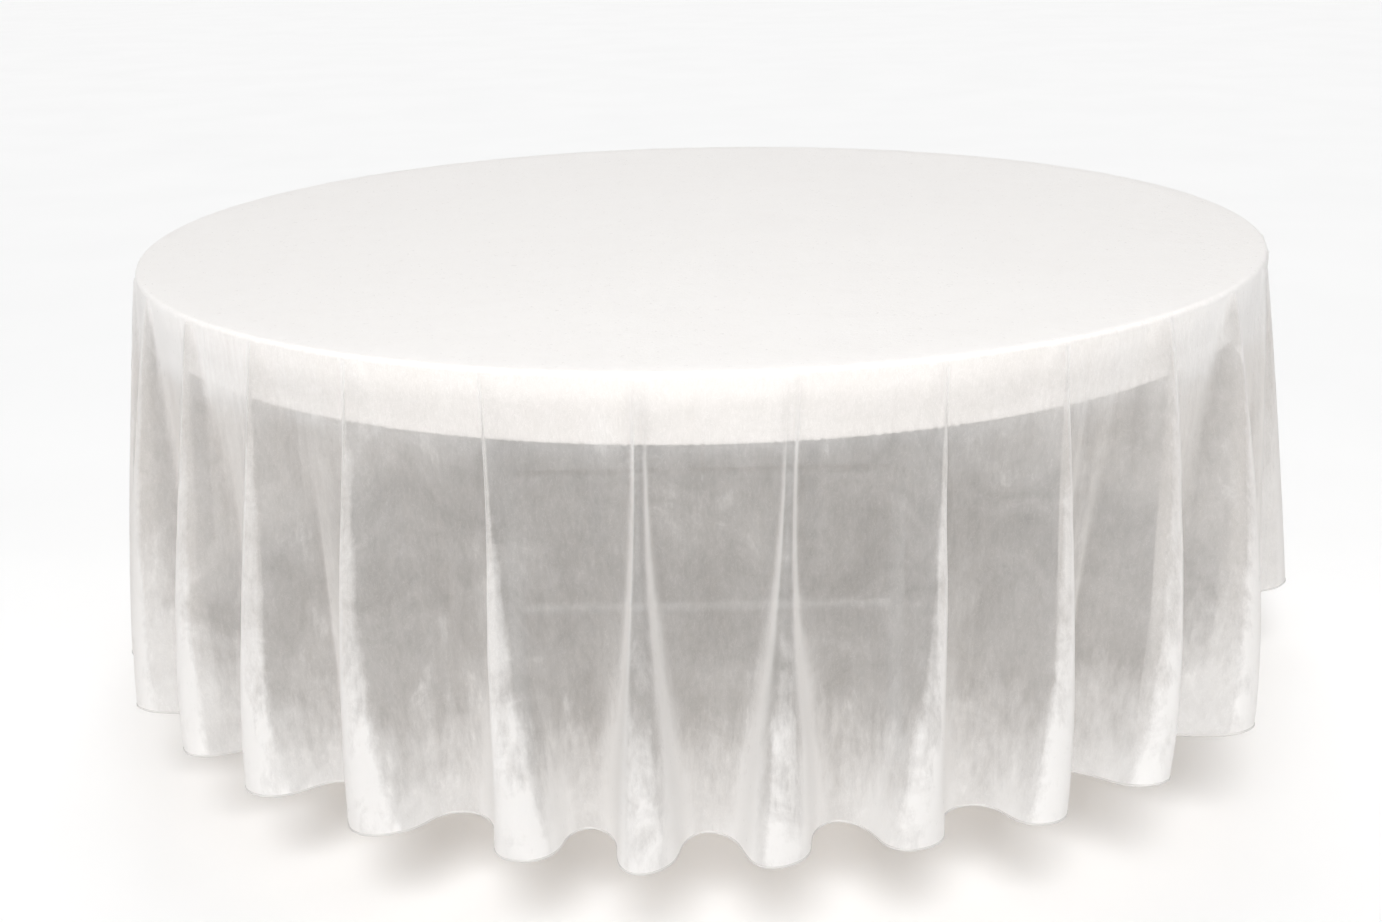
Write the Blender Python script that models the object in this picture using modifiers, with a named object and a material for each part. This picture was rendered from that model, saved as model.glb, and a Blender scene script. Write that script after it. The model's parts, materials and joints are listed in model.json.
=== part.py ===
"""A round folding banquet table dressed with a fitted white under-cover and a sheer round organza overlay.

Metres, +Z up. The origin is on the floor, under the centre of the top. The table's two leg frames hinge on
axes along X: the front frame stands at -Y and the rear one at +Y. Every piece is its own object, and the
empties hold the pieces that move together, with their origin on the joint's axis.
"""

import math

import bmesh
import bpy
from mathutils import Matrix, Vector

INCH = 0.0254
MM = 0.001

# Driving dimensions
TABLE_DIAMETER = 72 * INCH
TABLE_HEIGHT = 30 * INCH
CLOTH_DIAMETER = 120 * INCH
GAP = 0.3 * MM

# Table top
PLY_THICKNESS = 19 * MM
BAND_THICKNESS = 4 * MM
BAND_PROUD = 0.5 * MM
BAND_CORNER = 3.2 * MM
ROUND_STEPS = 64

# Hardwood runners under the top, and the blocks that drop the rear frame below the front one
RUNNER_WIDTH = 80 * MM
RUNNER_LENGTH = 1.34
RUNNER_THICKNESS = 20 * MM
RUNNER_X = 0.360
FRAME_DROP = 34 * MM
BLOCK_LENGTH = 0.130

# Leg frames
PIVOT_RADIUS = 14.3 * MM
PIVOT_HALF_LENGTH = 0.385
LEG_RADIUS = 12.7 * MM
BAR_RADIUS = 9.5 * MM
TUBE_WALL = 1.5 * MM
TUBE_SIDES = 16
HINGE_Y = 0.420
FRONT_LEG_X = 0.292
REAR_LEG_X = 0.232
SPLAY = math.radians(4.5)
STRETCHER_DOWN = 0.450

# Folding braces: the lower link turns on the brace bar, the upper link on its anchor. The anchor is nearer
# the hinge than the bar is, so that the bar comes to lie past it when the frame is folded.
BRACE_BAR_DOWN = 0.240
ANCHOR_IN = 0.200
LINK_THICKNESS = 4 * MM
LINK_GAP = 1 * MM
LINK_HALF_WIDTH = 10 * MM
LINK_EYE_RADIUS = 15 * MM
PIN_RADIUS = 4 * MM
RIVET_HEAD_RADIUS = 7.5 * MM
RIVET_HEAD_HEIGHT = 2.5 * MM
ANCHOR_PLATE = 2.5 * MM
ANCHOR_LENGTH = 64 * MM
ANCHOR_WIDTH = 20 * MM
ANCHOR_EAR_HALF_WIDTH = 12 * MM

# Pipe straps that hold the pivot tubes
STRAP_PLATE = 2.5 * MM
STRAP_WIDTH = 30 * MM
STRAP_FLANGE = 26 * MM

# Wood screws
SCREW_SHANK_RADIUS = 2.2 * MM
SCREW_HEAD_RADIUS = 4.6 * MM
SCREW_HEAD_HEIGHT = 2.6 * MM
SCREW_LENGTH = 15 * MM

# Feet
FOOT_BASE_RADIUS = 21 * MM
FOOT_TOP_RADIUS = 17.5 * MM
FOOT_HEIGHT = 38 * MM
FOOT_SOLE = 6 * MM

# Under-cover: a fitted cap whose turned-up hem holds an elastic cord
COVER_THICKNESS = 1.0 * MM
COVER_DROP = 0.092
COVER_TUCK = 17 * MM
EDGE_ROUND = 4 * MM
ELASTIC_RADIUS = 2.5 * MM
HEM_HOOK_RADIUS = 3.2 * MM
HEM_TURN_UP = 12 * MM

# Overlay: the cloth falls from the rim and its spare width gathers into folds that widen downwards
OVERLAY_THICKNESS = 1.0 * MM
OVERLAY_FOLDS = 32
STEPS_PER_FOLD = 6
HEM_FLARE = 58 * MM
HEM_FOLD_DEPTH = 52 * MM

TOP_RADIUS = TABLE_DIAMETER / 2
UNDERSIDE_Z = TABLE_HEIGHT - PLY_THICKNESS
RUNNER_UNDER_Z = UNDERSIDE_Z - GAP - RUNNER_THICKNESS
STRAP_INNER_RADIUS = PIVOT_RADIUS + 0.5 * MM
FRONT_HINGE_Z = RUNNER_UNDER_Z - STRAP_INNER_RADIUS
REAR_HINGE_Z = FRONT_HINGE_Z - FRAME_DROP
COVER_RADIUS = TOP_RADIUS + GAP
COVER_INNER_TOP_Z = TABLE_HEIGHT + BAND_PROUD + GAP
OVERLAY_RADIUS = COVER_RADIUS + COVER_THICKNESS + 2 * GAP
OVERLAY_INNER_TOP_Z = COVER_INNER_TOP_Z + COVER_THICKNESS + GAP
OVERLAY_SLANT = CLOTH_DIAMETER / 2 - (OVERLAY_RADIUS - EDGE_ROUND) - EDGE_ROUND * math.pi / 2
OVERLAY_DROP = math.sqrt(OVERLAY_SLANT**2 - HEM_FLARE**2)

PALETTE = {  # colour, roughness, metallic
    "plywood": ((0.62, 0.47, 0.30), 0.55, 0.0),
    "hardwood": ((0.52, 0.36, 0.21), 0.60, 0.0),
    "edge_vinyl": ((0.55, 0.54, 0.52), 0.45, 0.0),
    "painted_steel": ((0.29, 0.285, 0.28), 0.45, 0.0),
    "zinc_steel": ((0.66, 0.67, 0.68), 0.35, 1.0),
    "foot_plastic": ((0.45, 0.45, 0.44), 0.60, 0.0),
    "cover_cloth": ((0.90, 0.90, 0.89), 0.85, 0.0),
    "elastic": ((0.86, 0.86, 0.85), 0.80, 0.0),
    "organza": ((0.88, 0.88, 0.88), 0.45, 0.0),
}


def start_scene():
    """Clears the scene and returns the collections of the parts and of their cutters."""
    for old in list(bpy.data.objects):
        bpy.data.objects.remove(old)
    found = []
    for name in ("dressed_table", "cutters"):
        made = bpy.data.collections.new(name)
        bpy.context.scene.collection.children.link(made)
        found.append(made)
    return found


PARTS, CUTTERS = start_scene()


def material(name):
    if name in bpy.data.materials:
        return bpy.data.materials[name]
    colour, roughness, metallic = PALETTE[name]
    made = bpy.data.materials.new(name)
    made.use_nodes = True
    shader = made.node_tree.nodes["Principled BSDF"]
    shader.inputs["Base Color"].default_value = (*colour, 1)
    shader.inputs["Roughness"].default_value = roughness
    shader.inputs["Metallic"].default_value = metallic
    return made


def add(name, data, finish=None, place=None):
    """Links a part, at the matrix that places it."""
    made = bpy.data.objects.new(name, data)
    PARTS.objects.link(made)
    if finish:
        data.materials.append(material(finish))
    if place is not None:
        made.matrix_world = place
    return made


def holder(name, location):
    """An empty on a joint's axis, for the pieces that move with it."""
    made = bpy.data.objects.new(name, None)
    made.empty_display_size = 0.05
    made.location = location
    PARTS.objects.link(made)
    return made


def hang(parent, *children):
    """Parents pieces without moving them."""
    bpy.context.view_layer.update()
    for child in children:
        child.parent = parent
        child.matrix_parent_inverse = parent.matrix_world.inverted()


def mesh_of(build, name):
    """A mesh made by a function that fills a bmesh."""
    mesh = bpy.data.meshes.new(name)
    bm = bmesh.new()
    build(bm)
    bm.to_mesh(mesh)
    bm.free()
    return mesh


def along(start, end):
    """The matrix of a piece whose local Z runs from start to end, with its origin halfway."""
    start, end = Vector(start), Vector(end)
    turn = (end - start).to_track_quat("Z", "Y").to_matrix().to_4x4()
    return Matrix.Translation((start + end) / 2) @ turn


def cylinder_mesh(name, length, radius, top_radius=None, sides=TUBE_SIDES, capped=True):
    return mesh_of(
        lambda bm: bmesh.ops.create_cone(
            bm,
            cap_ends=capped,
            segments=sides,
            radius1=radius,
            radius2=radius if top_radius is None else top_radius,
            depth=length,
        ),
        name,
    )


def smooth(piece, degrees=35):
    piece.data.shade_smooth()
    piece.data.set_sharp_from_angle(angle=math.radians(degrees))
    return piece


def tube(name, start, end, radius, finish):
    """An open-ended steel tube between two points."""
    length = (Vector(end) - Vector(start)).length
    made = add(name, cylinder_mesh(name, length, radius, capped=False), finish, along(start, end))
    wall = made.modifiers.new("wall", "SOLIDIFY")
    wall.thickness = TUBE_WALL
    wall.offset = -1
    return smooth(made)


def cutter(name, start, end, radius, sides=TUBE_SIDES):
    """A hidden cylinder that a Boolean takes away from its targets."""
    length = (Vector(end) - Vector(start)).length
    made = bpy.data.objects.new(name, cylinder_mesh(name, length, radius, sides=sides))
    CUTTERS.objects.link(made)
    made.matrix_world = along(start, end)
    made.hide_render = True
    made.display_type = "WIRE"
    return made


def cut(target, *tools):
    for tool in tools:
        step = target.modifiers.new("cut_" + tool.name, "BOOLEAN")
        step.operation = "DIFFERENCE"
        step.object = tool
    return target


def turned(name, profile, finish, place=None, closed=False, steps=ROUND_STEPS):
    """A profile of (radius, height) points, spun round local Z."""
    mesh = bpy.data.meshes.new(name)
    edges = [(i, i + 1) for i in range(len(profile) - 1)]
    if closed:
        edges.append((len(profile) - 1, 0))
    mesh.from_pydata([(r, 0, z) for r, z in profile], edges, [])
    made = add(name, mesh, finish, place)
    spin = made.modifiers.new("spin", "SCREW")
    spin.steps = spin.render_steps = steps
    spin.use_merge_vertices = True
    spin.merge_threshold = 0.00001
    spin.use_smooth_shade = False
    return made


def box(name, size, centre, finish, bevel=1.5 * MM):
    made = add(name, mesh_of(lambda bm: bmesh.ops.create_cube(bm, size=1), name), finish)
    made.data.transform(Matrix.Diagonal((*size, 1)))
    made.location = centre
    if bevel:
        edge = made.modifiers.new("edge", "BEVEL")
        edge.width = bevel
        edge.segments = 1
    return made


def arc(centre, radius, start, end, count):
    """Points on an arc, from one angle to another in degrees."""
    angles = [math.radians(start + (end - start) * i / (count - 1)) for i in range(count)]
    return [(centre[0] + radius * math.cos(a), centre[1] + radius * math.sin(a)) for a in angles]


def circle(centre, radius, count=16):
    return arc(centre, radius, 0, 360, count + 1)[:-1]


def flat(name, outlines, thickness, finish, place):
    """A plate cut to the first outline with the others as holes, lying in its local XY plane."""
    curve = bpy.data.curves.new(name, "CURVE")
    curve.dimensions = "2D"
    curve.fill_mode = "BOTH"
    curve.extrude = thickness / 2
    for points in outlines:
        spline = curve.splines.new("POLY")
        spline.points.add(len(points) - 1)
        spline.use_cyclic_u = True
        for point, (x, y) in zip(spline.points, points, strict=True):
            point.co = (x, y, 0, 1)
    return add(name, curve, finish, place)


def as_mesh(piece):
    """Turns a curve piece into a mesh with its caps welded, so that it can be cut."""
    bpy.context.view_layer.update()
    graph = bpy.context.evaluated_depsgraph_get()
    mesh = bpy.data.meshes.new_from_object(piece.evaluated_get(graph))
    bm = bmesh.new()
    bm.from_mesh(mesh)
    bmesh.ops.remove_doubles(bm, verts=bm.verts, dist=0.00001)
    bm.to_mesh(mesh)
    bm.free()
    name, place = piece.name, piece.matrix_world.copy()
    bpy.data.objects.remove(piece)
    made = bpy.data.objects.new(name, mesh)
    PARTS.objects.link(made)
    made.matrix_world = place
    return made


def plane_yz(centre, flip=1):
    """The matrix that stands a flat piece in the YZ plane, with its local X along Y times flip."""
    turn = Matrix(((0, 0, flip, 0), (flip, 0, 0, 0), (0, 1, 0, 0), (0, 0, 0, 1)))
    return Matrix.Translation(centre) @ turn


def table_top():
    ply_radius = TOP_RADIUS - BAND_THICKNESS - GAP
    profile = [(0, TABLE_HEIGHT), (ply_radius, TABLE_HEIGHT), (ply_radius, UNDERSIDE_Z), (0, UNDERSIDE_Z)]
    turned("table_top", profile, "plywood")
    inner, outer = TOP_RADIUS - BAND_THICKNESS, TOP_RADIUS
    high, low = TABLE_HEIGHT + BAND_PROUD, UNDERSIDE_Z - BAND_PROUD
    profile = [
        (inner, high),
        (outer - BAND_CORNER, high),
        (outer, high - BAND_CORNER),
        (outer, low + BAND_CORNER),
        (outer - BAND_CORNER, low),
        (inner, low),
    ]
    turned("edge_band", profile, "edge_vinyl", closed=True)


def screw(name, head_under):
    """A pan-head wood screw driven upwards, with the underside of its head at a point."""
    dome = [
        (0, SCREW_HEAD_HEIGHT),
        (0.6 * SCREW_HEAD_RADIUS, 0.85 * SCREW_HEAD_HEIGHT),
        (SCREW_HEAD_RADIUS, 0.3 * SCREW_HEAD_HEIGHT),
        (SCREW_HEAD_RADIUS, 0),
        (SCREW_SHANK_RADIUS, 0),
        (SCREW_SHANK_RADIUS, -SCREW_LENGTH + 2 * SCREW_SHANK_RADIUS),
        (0, -SCREW_LENGTH),
    ]
    place = Matrix.Translation(head_under) @ Matrix.Rotation(math.pi, 4, "X")
    return turned(name, dome, "zinc_steel", place, steps=12)


def screw_hole(name, head_under):
    """The cutter for a screw's clearance hole."""
    start = Vector(head_under) - Vector((0, 0, 5 * MM))
    end = Vector(head_under) + Vector((0, 0, SCREW_LENGTH + GAP))
    return cutter(name, start, end, SCREW_SHANK_RADIUS + GAP, sides=12)


def strap(name, hinge, screws_into):
    """A pipe strap round a pivot tube, with two screws up into the wood above it."""
    _, hinge_y, hinge_z = hinge
    inner, outer = STRAP_INNER_RADIUS, STRAP_INNER_RADIUS + STRAP_PLATE
    top = STRAP_INNER_RADIUS - GAP  # the flange's upper face, just under the wood
    reach = outer + STRAP_FLANGE
    outline = [(reach, top), (inner, top)]
    outline += arc((0, 0), inner, 0, -180, 13)
    outline += [(-inner, top), (-reach, top), (-reach, top - STRAP_PLATE), (-outer, top - STRAP_PLATE)]
    outline += arc((0, 0), outer, -180, 0, 13)
    outline += [(outer, top - STRAP_PLATE), (reach, top - STRAP_PLATE)]
    made = as_mesh(flat(name, [outline], STRAP_WIDTH, "zinc_steel", plane_yz(hinge)))
    for side, y in (("outer", -1), ("inner", 1)):
        head = (hinge[0], hinge_y + y * (outer + STRAP_FLANGE / 2), hinge_z + top - STRAP_PLATE - GAP)
        hole = screw_hole(f"{name}_hole_{side}", head)
        cut(made, hole)
        cut(screws_into, hole)
        screw(f"{name.replace('strap', 'strap_screw')}_{side}", head)


def runners():
    """The two battens glued under the top, with a block on each for the rear frame. {side: (runner, block)}."""
    found = {}
    for side, x in (("left", -1), ("right", 1)):
        centre = (x * RUNNER_X, 0, RUNNER_UNDER_Z + RUNNER_THICKNESS / 2)
        size = (RUNNER_WIDTH, RUNNER_LENGTH, RUNNER_THICKNESS)
        runner = box(f"runner_{side}", size, centre, "hardwood")
        centre = (x * RUNNER_X, HINGE_Y, RUNNER_UNDER_Z - GAP - (FRAME_DROP - GAP) / 2)
        block = box(f"hinge_block_{side}", (RUNNER_WIDTH, BLOCK_LENGTH, FRAME_DROP - GAP), centre, "hardwood")
        found[side] = (runner, block)
    return found


class Frame:
    """One leg frame's places. way is the sign of its side in Y: -1 for the front frame and 1 for the rear."""

    def __init__(self, name, way, hinge_z, leg_x):
        self.name, self.way, self.leg_x = name, way, leg_x
        self.hinge = Vector((0, way * HINGE_Y, hinge_z))
        self.down = Vector((0, way * math.sin(SPLAY), -math.cos(SPLAY)))
        self.bar = self.hinge + BRACE_BAR_DOWN * self.down
        self.anchor = self.hinge - Vector((0, way * ANCHOR_IN, 0))
        straight = (self.anchor - self.bar).length
        self.upper_length = (straight + ANCHOR_IN - BRACE_BAR_DOWN) / 2
        self.lower_length = straight - self.upper_length
        self.brace_way = (self.bar - self.anchor) / straight
        self.knuckle = self.anchor + self.upper_length * self.brace_way

    def on_leg(self, side, down):
        """A point on a leg's axis, so far below the hinge along the leg."""
        return self.hinge + down * self.down + Vector((side * self.leg_x, 0, 0))


def foot(name, leg_end, down):
    """A moulded foot with a level sole, and a slanting socket for the leg."""
    centre = (leg_end.x, leg_end.y, FOOT_HEIGHT / 2)
    body = cylinder_mesh(name, FOOT_HEIGHT, FOOT_BASE_RADIUS, FOOT_TOP_RADIUS)
    made = add(name, body, "foot_plastic", Matrix.Translation(centre))
    edge = made.modifiers.new("edge", "BEVEL")
    edge.width = 2 * MM
    edge.segments = 1
    edge.limit_method = "ANGLE"
    socket = cutter(name + "_socket", leg_end + GAP * down, leg_end - 0.1 * down, LEG_RADIUS + GAP)
    return cut(smooth(made), socket)


def leg_frame(frame):
    """The welded tubes of one frame, its feet and its end plugs, on an empty at the hinge."""
    name = frame.name
    ends = [frame.hinge + Vector((x * PIVOT_HALF_LENGTH, 0, 0)) for x in (-1, 1)]
    pieces = [tube(f"pivot_tube_{name}", *ends, PIVOT_RADIUS, "painted_steel")]
    saddle = cutter(f"saddle_{name}", *ends, PIVOT_RADIUS + GAP)
    leg_length = (frame.hinge.z - FOOT_SOLE) / math.cos(SPLAY)
    around_legs = []
    for side, x in (("left", -1), ("right", 1)):
        top, bottom = frame.on_leg(x, 0), frame.on_leg(x, leg_length)
        leg = tube(f"leg_{name}_{side}", top, bottom, LEG_RADIUS, "painted_steel")
        around_legs.append(cutter(f"around_leg_{name}_{side}", top, bottom, LEG_RADIUS + GAP))
        pieces += [cut(leg, saddle), foot(f"foot_{name}_{side}", bottom, frame.down)]
        pieces.append(end_plug(f"end_plug_{name}_{side}", ends[(x + 1) // 2], x))
    for part, down in (("brace_bar", BRACE_BAR_DOWN), ("stretcher", STRETCHER_DOWN)):
        points = [frame.on_leg(x, down) for x in (-1, 1)]
        bar = tube(f"{part}_{name}", *points, BAR_RADIUS, "painted_steel")
        pieces.append(cut(bar, *around_legs))
    hang(holder(f"leg_frame_{name}", frame.hinge), *pieces)


def end_plug(name, tube_end, side):
    """A plastic plug that closes the end of a pivot tube."""
    spigot = PIVOT_RADIUS - TUBE_WALL - GAP
    profile = [(0, 3 * MM), (0.7 * PIVOT_RADIUS, 2.6 * MM), (PIVOT_RADIUS, 1 * MM), (PIVOT_RADIUS, GAP)]
    profile += [(spigot, GAP), (spigot, -12 * MM), (0, -12 * MM)]
    place = Matrix.Translation(tube_end) @ Matrix.Rotation(side * math.pi / 2, 4, "Y")
    return turned(name, profile, "foot_plastic", place, steps=TUBE_SIDES)


def link(name, start, end, x_side, start_eye, hole):
    """A flat brace link in the YZ plane. Its start has an eye, as (outer radius, hole radius)."""
    run = end - start
    angle = math.degrees(math.atan2(run.z, run.y))
    outer, bore = start_eye
    bend = math.degrees(math.asin((outer - LINK_HALF_WIDTH) / run.length))
    tip = (run.y, run.z)
    outline = arc((0, 0), outer, angle + 90 - bend, angle + 270 + bend, 13)
    outline += arc(tip, LINK_HALF_WIDTH, angle - 90 + bend, angle + 90 - bend, 9)
    holes = [circle((0, 0), bore, TUBE_SIDES), circle(tip, hole)]
    centre = Vector((x_side * (LINK_THICKNESS + LINK_GAP) / 2, start.y, start.z))
    return flat(name, [outline, *holes], LINK_THICKNESS, "zinc_steel", plane_yz(centre))


def knuckle_rivet(name, knuckle, x_side):
    """One half of the knuckle's rivet: a domed head outside its link, and a shank in that link's hole."""
    half = (LINK_THICKNESS + LINK_GAP) / 2 + LINK_THICKNESS / 2
    profile = [
        (0, RIVET_HEAD_HEIGHT),
        (0.7 * RIVET_HEAD_RADIUS, 0.8 * RIVET_HEAD_HEIGHT),
        (RIVET_HEAD_RADIUS, GAP),
        (PIN_RADIUS, GAP),
        (PIN_RADIUS, -LINK_THICKNESS),
        (0, -LINK_THICKNESS),
    ]
    place = Matrix.Translation(knuckle + Vector((x_side * half, 0, 0)))
    place @= Matrix.Rotation(x_side * math.pi / 2, 4, "Y")
    return turned(name, profile, "zinc_steel", place, steps=12)


def anchor(frame):
    """The bracket screwed under the top that holds the upper link, with its pin and screws."""
    name, place = frame.name, frame.anchor
    middle = (LINK_THICKNESS + LINK_GAP) / 2
    ear_x = middle + LINK_THICKNESS / 2 + LINK_GAP + ANCHOR_PLATE / 2
    plate_top = UNDERSIDE_Z - GAP
    plate_size = (ANCHOR_WIDTH, ANCHOR_LENGTH, ANCHOR_PLATE)
    plate_centre = (middle, place.y, plate_top - ANCHOR_PLATE / 2)
    plate = box(f"brace_anchor_{name}", plate_size, plate_centre, "zinc_steel", bevel=0)
    rise = plate_top - ANCHOR_PLATE / 2 - place.z
    outline = [(ANCHOR_EAR_HALF_WIDTH, rise), (-ANCHOR_EAR_HALF_WIDTH, rise)]
    outline += arc((0, 0), ANCHOR_EAR_HALF_WIDTH, 180, 360, 11)
    holes = [circle((0, 0), PIN_RADIUS + GAP)]
    centre = Vector((ear_x, place.y, place.z))
    ear = as_mesh(flat(f"ear_{name}", [outline, *holes], ANCHOR_PLATE, "zinc_steel", plane_yz(centre)))
    CUTTERS.objects.link(ear)
    PARTS.objects.unlink(ear)
    ear.hide_render = True
    ear.display_type = "WIRE"
    join = plate.modifiers.new("ear", "BOOLEAN")
    join.operation = "UNION"
    join.object = ear
    pin_ends = [Vector((x, place.y, place.z)) for x in (LINK_GAP, ear_x + ANCHOR_PLATE / 2 + 1 * MM)]
    length = pin_ends[1].x - pin_ends[0].x
    pin = cylinder_mesh(f"anchor_pin_{name}", length, PIN_RADIUS)
    smooth(add(f"anchor_pin_{name}", pin, "zinc_steel", along(*pin_ends)))
    for side, y in (("outer", -1), ("inner", 1)):
        head = (middle, place.y + y * (ANCHOR_LENGTH / 2 - 8 * MM), plate_top - ANCHOR_PLATE - GAP)
        hole = screw_hole(f"anchor_hole_{name}_{side}", head)
        cut(plate, hole)
        cut(bpy.data.objects["table_top"], hole)
        screw(f"anchor_screw_{name}_{side}", head)


def brace(frame):
    """The two links of a folding brace. They lie side by side, and meet at the knuckle."""
    name = frame.name
    anchor(frame)
    pin_hole = PIN_RADIUS + GAP
    upper = link(
        f"upper_brace_{name}", frame.anchor, frame.knuckle, 1, (LINK_HALF_WIDTH, pin_hole), pin_hole
    )
    lower = link(
        f"lower_brace_{name}", frame.bar, frame.knuckle, -1, (LINK_EYE_RADIUS, BAR_RADIUS + 2 * GAP), pin_hole
    )
    hang(
        holder(f"upper_link_{name}", frame.anchor),
        upper,
        knuckle_rivet(f"knuckle_rivet_{name}_upper", frame.knuckle, 1),
    )
    hang(
        holder(f"lower_link_{name}", frame.bar),
        lower,
        knuckle_rivet(f"knuckle_rivet_{name}_lower", frame.knuckle, -1),
    )


def cloth_wall(piece, thickness):
    """Gives a turned surface its thickness, outwards."""
    wall = piece.modifiers.new("wall", "SOLIDIFY")
    wall.thickness = thickness
    wall.offset = 1
    wall.use_even_offset = True


def under_cover():
    """The fitted cap: a flat top, a short side, and a turned-up hem round an elastic cord."""
    bottom_z = COVER_INNER_TOP_Z - COVER_DROP
    cord = (COVER_RADIUS - COVER_TUCK, bottom_z + HEM_HOOK_RADIUS)
    corner = (COVER_RADIUS - EDGE_ROUND, COVER_INNER_TOP_Z - EDGE_ROUND)
    profile = [(0, COVER_INNER_TOP_Z)]
    profile += arc(corner, EDGE_ROUND, 90, 0, 3)
    profile.append((COVER_RADIUS, UNDERSIDE_Z - 2 * MM))
    profile += arc(cord, HEM_HOOK_RADIUS, 0, -180, 4)
    profile.append((cord[0] - HEM_HOOK_RADIUS, cord[1] + HEM_TURN_UP))
    cloth_wall(turned("under_cover", profile, "cover_cloth"), COVER_THICKNESS)
    bpy.ops.mesh.primitive_torus_add(
        major_segments=ROUND_STEPS,
        minor_segments=6,
        major_radius=cord[0],
        minor_radius=ELASTIC_RADIUS,
        location=(0, 0, cord[1]),
    )
    elastic = bpy.context.object
    elastic.name = elastic.data.name = "cover_elastic"
    for holding in list(elastic.users_collection):
        holding.objects.unlink(elastic)
    PARTS.objects.link(elastic)
    elastic.data.materials.append(material("elastic"))


def flute(piece, rim_z):
    """Moves the spun skirt's points in and out, so that its folds deepen from the rim to the hem."""
    for vertex in piece.data.vertices:
        fallen = max(0.0, rim_z - vertex.co.z) / OVERLAY_DROP
        if fallen > 0:
            angle = math.atan2(vertex.co.y, vertex.co.x)
            out = fallen * (HEM_FLARE + HEM_FOLD_DEPTH * math.cos(OVERLAY_FOLDS * angle))
            radius = math.hypot(vertex.co.x, vertex.co.y)
            vertex.co.x *= 1 + out / radius
            vertex.co.y *= 1 + out / radius


def overlay():
    """The organza cloth: flat on the top, round over the edge, and falling in folds to its hem."""
    rim_z = OVERLAY_INNER_TOP_Z - EDGE_ROUND
    profile = [(0, OVERLAY_INNER_TOP_Z)]
    profile += arc((OVERLAY_RADIUS - EDGE_ROUND, rim_z), EDGE_ROUND, 90, 0, 3)
    profile.append((OVERLAY_RADIUS, rim_z - OVERLAY_DROP))
    spun = turned("organza_overlay", profile, "organza", steps=OVERLAY_FOLDS * STEPS_PER_FOLD)
    cloth = as_mesh(spun)
    flute(cloth, rim_z)
    cloth_wall(cloth, OVERLAY_THICKNESS)
    hang(holder("overlay", (0, 0, TABLE_HEIGHT)), cloth)


def main():
    table_top()
    wood = runners()
    frames = (
        Frame("front", -1, FRONT_HINGE_Z, FRONT_LEG_X),
        Frame("rear", 1, REAR_HINGE_Z, REAR_LEG_X),
    )
    for frame, layer in zip(frames, (0, 1), strict=True):
        for side, x in (("left", -1), ("right", 1)):
            hinge = frame.hinge + Vector((x * RUNNER_X, 0, 0))
            strap(f"strap_{frame.name}_{side}", hinge, wood[side][layer])
        leg_frame(frame)
        brace(frame)
    under_cover()
    overlay()


main()
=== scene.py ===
"""The looks of the dressed banquet table: its two cloths, its floor and light, and the finish of every part.

Angles go round the table in degrees: 0 is the front, where -Y points, and 90 is the right, at +X.
"""

import json
import math

import bpy
import numpy as np
from mathutils import Matrix, Vector


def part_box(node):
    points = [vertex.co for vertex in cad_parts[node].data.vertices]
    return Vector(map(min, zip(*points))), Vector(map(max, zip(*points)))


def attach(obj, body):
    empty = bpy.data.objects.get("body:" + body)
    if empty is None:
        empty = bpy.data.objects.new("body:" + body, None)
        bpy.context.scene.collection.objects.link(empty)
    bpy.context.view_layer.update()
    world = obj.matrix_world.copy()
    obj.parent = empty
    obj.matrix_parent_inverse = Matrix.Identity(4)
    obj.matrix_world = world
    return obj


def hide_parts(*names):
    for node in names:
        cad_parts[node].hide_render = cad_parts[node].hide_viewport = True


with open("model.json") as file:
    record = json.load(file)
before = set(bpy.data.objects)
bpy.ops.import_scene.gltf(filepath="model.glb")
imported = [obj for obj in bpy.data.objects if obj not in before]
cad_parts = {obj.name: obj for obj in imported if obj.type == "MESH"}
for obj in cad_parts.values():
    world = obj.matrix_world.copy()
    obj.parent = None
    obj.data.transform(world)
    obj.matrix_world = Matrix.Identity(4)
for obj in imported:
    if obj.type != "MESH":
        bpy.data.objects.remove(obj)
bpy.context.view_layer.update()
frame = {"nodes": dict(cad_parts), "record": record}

MM = 0.001
INCH = 0.0254

# What the frame says
COVER_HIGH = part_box("under_cover")[1]
ELASTIC_LOW, ELASTIC_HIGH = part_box("cover_elastic")
COVER_RADIUS = COVER_HIGH[0]
TOP_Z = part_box("organza_overlay")[1][2]

# Camera: it stands in front of the table a little above it, and is turned and tilted by a hair
CAMERA_PLACE = (0, -2.676, 1.272)
CAMERA_PITCH = 19.28
CAMERA_YAW = 0.49
CAMERA_ROLL = -1.28
CAMERA_LENS = 41.09

# Light
AMBIENT = 0.27
SUN_SPREAD = 30

# Organza cloth: its size, and how finely its mesh follows it
CLOTH_DIAMETER = 120 * INCH
CLOTH_RADIUS = COVER_RADIUS + 0.6 * MM
RIM_ROUND = 7 * MM
RIM_SPAN = CLOTH_RADIUS - RIM_ROUND + RIM_ROUND * math.pi / 2
SKIRT_SLANT = CLOTH_DIAMETER / 2 - RIM_SPAN
TOP_RINGS = 26
SAMPLES_PER_FOLD = 40
SKIRT_ROWS = 76
ROW_CROWDING = 1.15
SETTLED = 0.4 * MM
TOP_RIPPLE = 0.25 * MM
HEM_TUBE = 1.0 * MM
HEM_SIDES = 6
HEM_COVERS = 0.7

# The front folds: the angle of each one's ridge at the hem, and at the table's rim
FRONT_FOLDS = [
    (-67, -71),
    (-55.8, -60),
    (-46.6, -50),
    (-36.8, -39.5),
    (-25, -27.6),
    (-15.2, -16.2),
    (-4.6, -4.2),
    (5.3, 7.2),
    (16.2, 18.3),
    (24.8, 28.8),
    (34.8, 40.9),
    (45.2, 54),
    (59, 66),
]
BACK_FOLDS = 20
BACK_SHIFT = 0.16
BACK_SLANT = 2.2
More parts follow.
